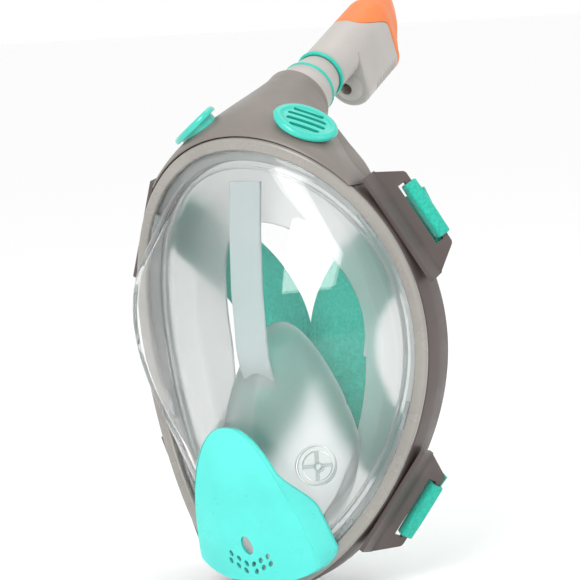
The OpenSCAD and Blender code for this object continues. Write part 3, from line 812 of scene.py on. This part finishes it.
def make_cap():
    loops = []
    for cx, cm, off in capsule_columns():
        low = cap_edge(TUBE_R * cm + CHAMBER_OFF * off) + GAP
        start = max(low + 1.0, 70.5)
        points = [snorkel_pt((TUBE_R - e) * cx, (TUBE_R - e) * cm + CHAMBER_OFF * off, a)
                  for a, e in [(low, 1.8), (low, 0.5), (low + 0.25, 0.1)]]
        points += [snorkel_pt(TUBE_R * cx, TUBE_R * cm + CHAMBER_OFF * off, a)
                   for a in np.linspace(low + 0.5, start, 26)]
        points += [snorkel_pt(r * cx, r * cm + o * off, max(a, start + 0.3 + 0.01 * a) if a < 76 else a)
                   for a, r, o in CAP_LEVELS]
        points += [snorkel_pt(max(0, r - 1.8) * cx, max(0, r - 1.8) * cm + o * off * min(1, r), a - 1.8)
                   for a, r, o in CAP_LEVELS[::-1] if a > 76]
        points.append(snorkel_pt(11.2 * cx, 11.2 * cm + CHAMBER_OFF * off, max(low + 0.5, 71)))
        loops.append(points)
    made("snorkel_cap_shell", "snorkel_cap", *ring_of_sections(loops), orange, 50)


def make_rings():
    for name, node, z, r in (("lower_neck_ring", "neck_ring_lower", 0, 14.1),
                             ("upper_neck_ring", "neck_ring_upper", 14, 12.7)):
        profile = [(r + 1.1 * math.cos(t), z + 1.1 * math.sin(t)) for t in turns(20)]
        made(name, node, *lathe(profile, snorkel_pt, 128), teal_rubber)


make_tube()
make_cap()
make_rings()


# ---------------------------------------------------------------------------
# Soft shells: skirt, nose pocket and duct
# ---------------------------------------------------------------------------
SKIRT_WALL, POCKET_WALL, DUCT_W = 2.0, 1.8, 19.0
POCKET_MID, POCKET_HALF = (0.0, 4.0, -41.0), (40.0, 38.0, 53.0)
POCKET_VALVE, POCKET_VALVE_YAW = (29.0, -21.5, -52.5), 46.0


def skirt_section(t):
    s = math.sin(t)
    reach = 46 - 20 * s * s - 7 * max(0.0, -s) + 19 * max(0.0, s) ** 2
    near, w, b = -BAND_WALL - GAP - 0.6, SKIRT_WALL, BAND_DEPTH
    return [(near, 5.4 + SHELF), (-FLANGE_IN, 5.4 + SHELF), (-FLANGE_IN, 5.4 + SHELF + w),
            (near - w, 5.4 + SHELF + w), (near - w - 1, b + 1), (near - 7, b + 4 - w), (near - 16, b + 3 - w),
            (-reach, b - 6), (-reach, b - 6 + w), (near - 16, b + 3 + w), (near - 6, b + 4.5), (near, b + 2)]


def make_skirt():
    loops = [[at_rim(t, p[0], p[1]) for p in rounded(skirt_section(t), 2.0, 5)] for t in turns()]
    made("face_skirt_silicone", "face_skirt", *ring_of_sections(loops), frosted)


def pocket_pt(t, q, w):
    h = [v - w for v in POCKET_HALF]
    z = math.sin(t)
    ridge = 2.2 * math.exp(-((q * math.cos(t)) / 0.16) ** 2) * smooth((q * z + 0.1) / 0.5) * (1 - q)
    narrow = 1 - 0.3 * max(0.0, z)
    return np.array([POCKET_MID[0] + q * h[0] * math.cos(t) * narrow,
                     POCKET_MID[1] - h[1] * max(0.0, 1 - q * q) ** 0.6 - 7 * max(0.0, z) * q - ridge,
                     POCKET_MID[2] + q * z * (h[2] + (8 if z > 0 else 0))])


def at_pocket_valve(p):
    return turn_z(turn_x(p, 90), POCKET_VALVE_YAW) + np.array(POCKET_VALVE)


def make_pocket():
    shares = [math.sin(math.pi / 2 * k / 22) for k in range(2, 23)]
    columns = turns(144)
    rows = [[pocket_pt(t, q, POCKET_WALL) for t in columns] for q in shares]
    rows += [[pocket_pt(t, q, 0) for t in columns] for q in shares[::-1]]
    verts, faces = capped_loft(rows, pocket_pt(0, 0, POCKET_WALL), pocket_pt(0, 0, 0))
    cutters = [cylinder(placed(at_pocket_valve, side), FLAP_R + 1.7, -15, 15) for side in (1, -1)]
    cutters.append(cylinder(placed(at_chin_valve), FLAP_R + 1.7, -22, 22))
    cut_out("nose_pocket_silicone", "nose_pocket", verts, faces, cutters, pocket_clear, 45)


def make_duct():
    rows = []
    for z in np.linspace(-12, 96, 60):
        y = -33 - 0.05 * (40 - abs(z - 40)) + 0.06 * max(0, z - 70) + 0.012 * max(0, 12 - z) ** 2
        half = DUCT_W / 2
        rows.append([np.array([p[0], y + p[1], z]) for p in
                     rounded([(-half, 0), (half, 0), (half, 2), (-half, 2)], 0.8, 4)])
    made("inlet_duct", "centre_duct", *capped_loft(rows), duct_frost, 40)


# ---------------------------------------------------------------------------
# Chin cover
# ---------------------------------------------------------------------------
CHIN_TOP, CHIN_LOW, CHIN_FRONT = -27.0, -111.0, -61.5


def chin_crease(z):
    """Half width of the front facet."""
    drop = CHIN_TOP - z
    return 5.75 * drop ** 0.45 - 3.2 * (drop / 77) ** 2


def chin_edge(z):
    """Half width of the cover with its side facets, shut along the rim below."""
    edge = chin_crease(z) + 0.9 + 5.6 * smooth((CHIN_TOP - z - 22) / 22)
    if z < -95:
        edge = min(edge, 41.5 * math.sqrt(max(0.0, 1 - ((z + 95) / 17.5) ** 2)))
    return edge


def chin_pt(u, z):
    edge = chin_edge(z)
    crease = min(chin_crease(z), edge - 0.5)
    share = abs(u)
    drop = CHIN_TOP - z
    bow = 0.006 * smooth(drop / 80)
    if share <= 0.72:
        x = share / 0.72 * crease
        back = bow * x * x + (0.9 if share > 0.7 else 0.0)
    else:
        k = (share - 0.72) / 0.28
        x = crease + k * (edge - crease)
        back = bow * crease * crease + k * (0.9 + 11.5 * smooth((drop - 22) / 22))
    return np.array([math.copysign(x, u), CHIN_FRONT + back + 0.21 * (CHIN_TOP - z), z])


def oval(x, z, half_w, half_h, tilt):
    outline = []
    for t in turns(28):
        p, q = half_w * math.cos(t), half_h * math.sin(t)
        outline.append((x + p * math.cos(tilt) - q * math.sin(tilt),
                        z + p * math.sin(tilt) + q * math.cos(tilt)))
    return prism(lambda a, b, c: np.array([a, -50 - c, b]), outline, -22, 22)


def make_chin_cover():
    columns = list(np.linspace(-1, -0.76, 9)) + [-0.74, -0.72, -0.7] + list(np.linspace(-0.68, 0.68, 34))
    columns += [0.7, 0.72, 0.74] + list(np.linspace(0.76, 1, 9))
    levels = [CHIN_TOP + (CHIN_LOW - CHIN_TOP) * (1 - math.cos(math.pi / 2 * k / 60)) for k in range(61)]
    levels[0] -= 0.02
    top = [[chin_pt(u, z) for u in columns] for z in levels]
    loops = []
    for row in top:
        under = [p + np.array([0, 2.0, 0]) for p in row]
        loops.append(row + under[::-1])
    verts, faces = capped_loft(loops)
    holes = [oval(0, -91, 3.3, 5.2, 0.25)]
    for side in (1, -1):
        for k in range(3):
            for lift in (0, 1):
                holes.append(oval(side * (3.2 + 4.5 * k - 1.0 * lift), -105.2 + 2.4 * k + 4.0 * lift,
                                  1.15, 1.8, side * -0.45))
    cut_out("chin_guard", "chin_cover", verts, faces, holes, aqua, 28)


# ---------------------------------------------------------------------------
# Webbing: end loops and the two halves of the head strap
# ---------------------------------------------------------------------------
def woven(name, node, loops, along, around):
    """A closed ribbon whose weave map gives metres along it and round it."""
    mesh = bpy.data.meshes.new(name)
    verts, faces = capped_loft(loops)
    mesh.from_pydata([tuple(v * MM) for v in verts], [], faces)
    table = [(a * MM, b * MM) for a in along for b in around]
    layer = mesh.uv_layers.new(name="weave")
    for loop in mesh.loops:
        layer.data[loop.index].uv = table[loop.vertex_index]
    return stand_in(finish_piece(name, mesh, BODY_OF[node], SLOT_OF[node], webbing), node, 50)


BAR_IN, BAR_OUT, PLATE_T, LOOP_GAP, FLARE = 12.6, 16.0, 2.4, 0.5, 33.0


def make_loop(side, word, low):
    """Webbing folded round the bracket's bar, doubled back on itself."""
    node = "strap_loop_" + ("lower_" if low else "upper_") + word
    bracket = on_rim(math.radians(BRACKET_TURN[low]), 0.6 + GAP, BAND_DEPTH / 2)
    place = placed(lambda p: bracket(turn_x(p, FLARE) + np.array([0, 3, 1.2])), side)
    y0, y1 = BAR_IN - LOOP_GAP - STRAP_T, BAR_OUT + LOOP_GAP + STRAP_T
    z1 = PLATE_T / 2 + LOOP_GAP + STRAP_T
    ring_out = rounded([(y0, -z1), (y1, -z1), (y1, z1), (y0, z1)], 2.4, 9)
    w = STRAP_T
    ring_in = rounded([(y0 + w, -z1 + w), (y1 - w, -z1 + w), (y1 - w, z1 - w), (y0 + w, z1 - w)], 0.8, 9)
    half = STRAP_W / 2
    count = len(ring_out)
    path, loops = 0.0, []
    along = []
    for k in range(count):
        o, i = ring_out[k], ring_in[k]
        along.append(path)
        path += float(np.linalg.norm(ring_out[(k + 1) % count] - o))
        section = []
        for x, s in ([(-half + 0.5, 0), (-half, 0.3), (-half, 0.7), (-half + 0.5, 1)]
                     + [(v, 1) for v in np.linspace(-half + 2, half - 2, 12)]
                     + [(half - 0.5, 1), (half, 0.7), (half, 0.3), (half - 0.5, 0)]
                     + [(v, 0) for v in np.linspace(half - 2, -half + 2, 12)]):
            p = i * (1 - s) + o * s
            bulge = 0.25 * math.sin(math.pi * min(1, max(0, (x + half) / (2 * half)))) * s
            p = p + (o - i) / max(1e-6, np.linalg.norm(o - i)) * (bulge - 0.25)
            section.append(place(x, p[0], p[1]))
        loops.append(section)
    verts, faces = ring_of_sections(loops)
    mesh = bpy.data.meshes.new(node)
    mesh.from_pydata([tuple(v * MM) for v in verts], [], faces)
    m = len(loops[0])
    layer = mesh.uv_layers.new(name="weave")
    for polygon in mesh.polygons:
        far = max(mesh.loops[i].vertex_index // m for i in polygon.loop_indices)
        for index in polygon.loop_indices:
            v = mesh.loops[index].vertex_index
            row = v // m
            a = path if (far == count - 1 and row == 0) else along[row]
            layer.data[index].uv = (a * MM, (v % m) * 1.9 * MM)
    stand_in(finish_piece(node + "_webbing", mesh, BODY_OF[node], SLOT_OF[node], webbing), node, 50)


STRAP_MID = np.array([20.0, 25.0, 6.0])


def strap_line(s):
    ends = [at_rim(math.radians(t), 9, BAND_DEPTH + 13) for t in BRACKET_TURN]
    control = 2 * STRAP_MID - (ends[0] + ends[1]) / 2
    return (1 - s) ** 2 * ends[0] + 2 * s * (1 - s) * control + s * s * ends[1]


def make_head_strap(side, word):
    loops, along, path, before = [], [], 0.0, None
    shares = np.linspace(0, 1, 90)
    half_t = STRAP_T / 2
    outline = [(1 - 0.02, -half_t), (1.0, -half_t * 0.4), (1.0, half_t * 0.4), (1 - 0.02, half_t)]
    outline += [(k, half_t) for k in np.linspace(0.94, -0.94, 15)]
    outline += [(-1 + 0.02, half_t), (-1.0, half_t * 0.4), (-1.0, -half_t * 0.4), (-1 + 0.02, -half_t)]
    outline += [(k, -half_t) for k in np.linspace(-0.94, 0.94, 15)]
    for s in shares:
        d = strap_line(min(1, s + 0.01)) - strap_line(max(0, s - 0.01))
        across = np.array([d[2], 0, -d[0]]) / math.hypot(d[0], d[2])
        centre = strap_line(s)
        path += 0.0 if before is None else float(np.linalg.norm(centre - before))
        before = centre
        half = STRAP_W / 2 + 5 * math.sin(math.pi * s)
        loop = []
        for k, y in outline:
            p = centre - across * k * half
            loop.append(np.array([side * max(GAP / 2, p[0]), p[1] + y + half_t, p[2]]))
        loops.append(loop)
        along.append(path)
    around = [k * 20 for k, _ in outline]
    woven("strap_" + word, "head_strap_" + word, loops, along, around)


def stitch_tree(thread):
    """Geometry Nodes: rounded thread stitches laid along the edges of a line mesh."""
    tree = bpy.data.node_groups.new("stitches", "GeometryNodeTree")
    face = tree.interface
    face.new_socket("Lines", in_out="INPUT", socket_type="NodeSocketGeometry")
    sizes = {}
    for label, value in (("Stitch pitch", 0.0028), ("Stitch length", 0.0011), ("Thread radius", 0.00034)):
        socket = face.new_socket(label, in_out="INPUT", socket_type="NodeSocketFloat")
        socket.default_value = value
        sizes[label] = socket.identifier
    face.new_socket("Stitches", in_out="OUTPUT", socket_type="NodeSocketGeometry")
    nodes, link = tree.nodes, tree.links.new
    entry, leave = nodes.new("NodeGroupInput"), nodes.new("NodeGroupOutput")
    to_curve = nodes.new("GeometryNodeMeshToCurve")
    spaced = nodes.new("GeometryNodeResampleCurve")
    spaced.mode = "LENGTH"
    ball = nodes.new("GeometryNodeMeshIcoSphere")
    ball.inputs["Radius"].default_value = 1.0
    ball.inputs["Subdivisions"].default_value = 2
    size = nodes.new("ShaderNodeCombineXYZ")
    tangent = nodes.new("GeometryNodeInputTangent")
    aim = nodes.new("FunctionNodeAlignRotationToVector")
    aim.axis = "X"
    lay = nodes.new("GeometryNodeInstanceOnPoints")
    real = nodes.new("GeometryNodeRealizeInstances")
    coat = nodes.new("GeometryNodeSetMaterial")
    coat.inputs["Material"].default_value = thread
    link(entry.outputs["Lines"], to_curve.inputs["Mesh"])
    link(to_curve.outputs["Curve"], spaced.inputs["Curve"])
    link(entry.outputs["Stitch pitch"], spaced.inputs["Length"])
    link(entry.outputs["Stitch length"], size.inputs["X"])
    link(entry.outputs["Thread radius"], size.inputs["Y"])
    link(entry.outputs["Thread radius"], size.inputs["Z"])
    link(spaced.outputs["Curve"], lay.inputs["Points"])
    link(ball.outputs["Mesh"], lay.inputs["Instance"])
    link(tangent.outputs["Tangent"], aim.inputs["Vector"])
    link(aim.outputs["Rotation"], lay.inputs["Rotation"])
    link(size.outputs["Vector"], lay.inputs["Scale"])
    link(lay.outputs["Instances"], real.inputs["Geometry"])
    link(real.outputs["Geometry"], coat.inputs["Geometry"])
    link(coat.outputs["Geometry"], leave.inputs["Stitches"])
    return tree, sizes


def sew(name, tree, sizes, rows, thread):
    """Bakes one mesh of stitches along rows of points."""
    verts, edges = [], []
    for row in rows:
        start = len(verts)
        verts += [tuple(p * MM) for p in row]
        edges += [(start + k, start + k + 1) for k in range(len(row) - 1)]
    lines = bpy.data.meshes.new("lines")
    lines.from_pydata(verts, edges, [])
    work = bpy.data.objects.new("work", lines)
    bpy.context.scene.collection.objects.link(work)
    nodes = work.modifiers.new("stitches", "NODES")
    nodes.node_group = tree
    nodes[sizes["Stitch pitch"]] = 0.0028
    nodes[sizes["Stitch length"]] = 0.0011
    nodes[sizes["Thread radius"]] = 0.00034
    mesh = bpy.data.meshes.new_from_object(work.evaluated_get(bpy.context.evaluated_depsgraph_get()))
    bpy.data.objects.remove(work)
    finish_piece(name, mesh, "mask", "strap_webbing", thread)


def strap_rows(side):
    """Stitch rows on both faces of a strap half: by its two ends and along the middle seam."""
    rows = []
    for s in (0.045, 0.07, 0.93, 0.955):
        d = strap_line(s + 0.01) - strap_line(s - 0.01)
        across = np.array([d[2], 0, -d[0]]) / math.hypot(d[0], d[2])
        centre, half = strap_line(s), (STRAP_W / 2 + 5 * math.sin(math.pi * s)) * 0.86
        for y in (-0.1, STRAP_T + 0.1):
            rows.append([np.array([side * p[0], p[1] + y, p[2]])
                         for p in (centre + across * half * k for k in np.linspace(-1, 1, 12))])
    for x in (1.6, 4.2):
        for y in (-0.1, STRAP_T + 0.1):
            rows.append([np.array([side * x, STRAP_MID[1] + y, STRAP_MID[2] + z])
                         for z in np.linspace(-9, 9, 8)])
    return rows


def make_stitches():
    thread = moulded("strap_thread", linear(30, 150, 134), 0.6, 0.8, grain=3000)
    tree, sizes = stitch_tree(thread)
    for side, word in ((1, "left"), (-1, "right")):
        sew("strap_stitches_" + word, tree, sizes, strap_rows(side), thread)


make_skirt()
make_pocket()
make_chin_cover()
make_duct()
both_sides(lambda side, word: [make_loop(side, word, low) for low in (0, 1)])
both_sides(make_head_strap)
make_stitches()
for word in ("left", "right"):
    for low in ("upper", "lower"):
        softened("bracket_%s_%s" % (low, word), "strap_bracket_%s_%s" % (low, word), 0.45, taupe)
for node, material in (("visor_clips", clip_clear), ("chin_valve_seat", clear_silicone),
                       ("chin_valve_flap", clear_silicone), ("vent_flap_left", clear_silicone),
                       ("vent_flap_right", clear_silicone), ("pocket_valve_seat_left", clear_silicone),
                       ("pocket_valve_seat_right", clear_silicone),
                       ("pocket_valve_flap_left", clear_silicone),
                       ("pocket_valve_flap_right", clear_silicone), ("chamber_stopper", pale_grey),
                       ("float", orange), ("float_gasket", teal_rubber)):
    for slot in frame["nodes"][node].material_slots:
        slot.material = material
